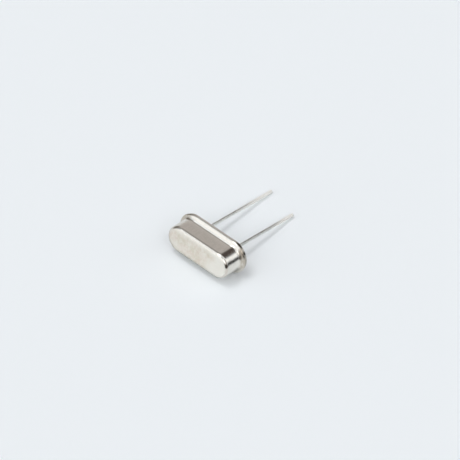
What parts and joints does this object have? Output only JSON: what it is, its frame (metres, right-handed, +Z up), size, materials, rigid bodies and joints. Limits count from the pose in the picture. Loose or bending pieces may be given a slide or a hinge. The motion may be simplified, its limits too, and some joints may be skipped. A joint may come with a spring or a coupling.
{
  "type": "crystal oscillator",
  "caption": "Low racetrack-shaped metal can with a flange, resistance-welded to a glass-sealed base, with two round wire leads, lying on its side.",
  "frame": {"origin": "centre of the footprint, on the surface that the part lies on", "axes": "+X along the can's long side, towards the shorter lead; +Y along the leads, away from the can; +Z up"},
  "size_m": [0.0108, 0.0162, 0.0046],
  "materials": {
    "can": "satin nickel-silver sheet, fine draw lines along the side wall",
    "base": "satin nickel plate",
    "glass_seal": "dark grey-green sealing glass, glossy meniscus",
    "lead": "bright tinned nickel-iron wire, fine die marks along it",
    "spring": "nickel-silver strip, satin",
    "quartz": "finely lapped clear quartz",
    "silver": "evaporated silver film",
    "adhesive": "silver-filled epoxy, dull grey"
  },
  "bodies": {
    "root": {"can": "can", "base": "base", "glass_seal_left": "glass_seal", "glass_seal_right": "glass_seal", "lead_left": "lead", "lead_right": "lead", "spring_left": "spring", "spring_right": "spring", "quartz_blank": "quartz", "electrode_top": "silver", "electrode_bottom": "silver", "adhesive_left": "adhesive", "adhesive_right": "adhesive"}
  },
  "joints": []
}
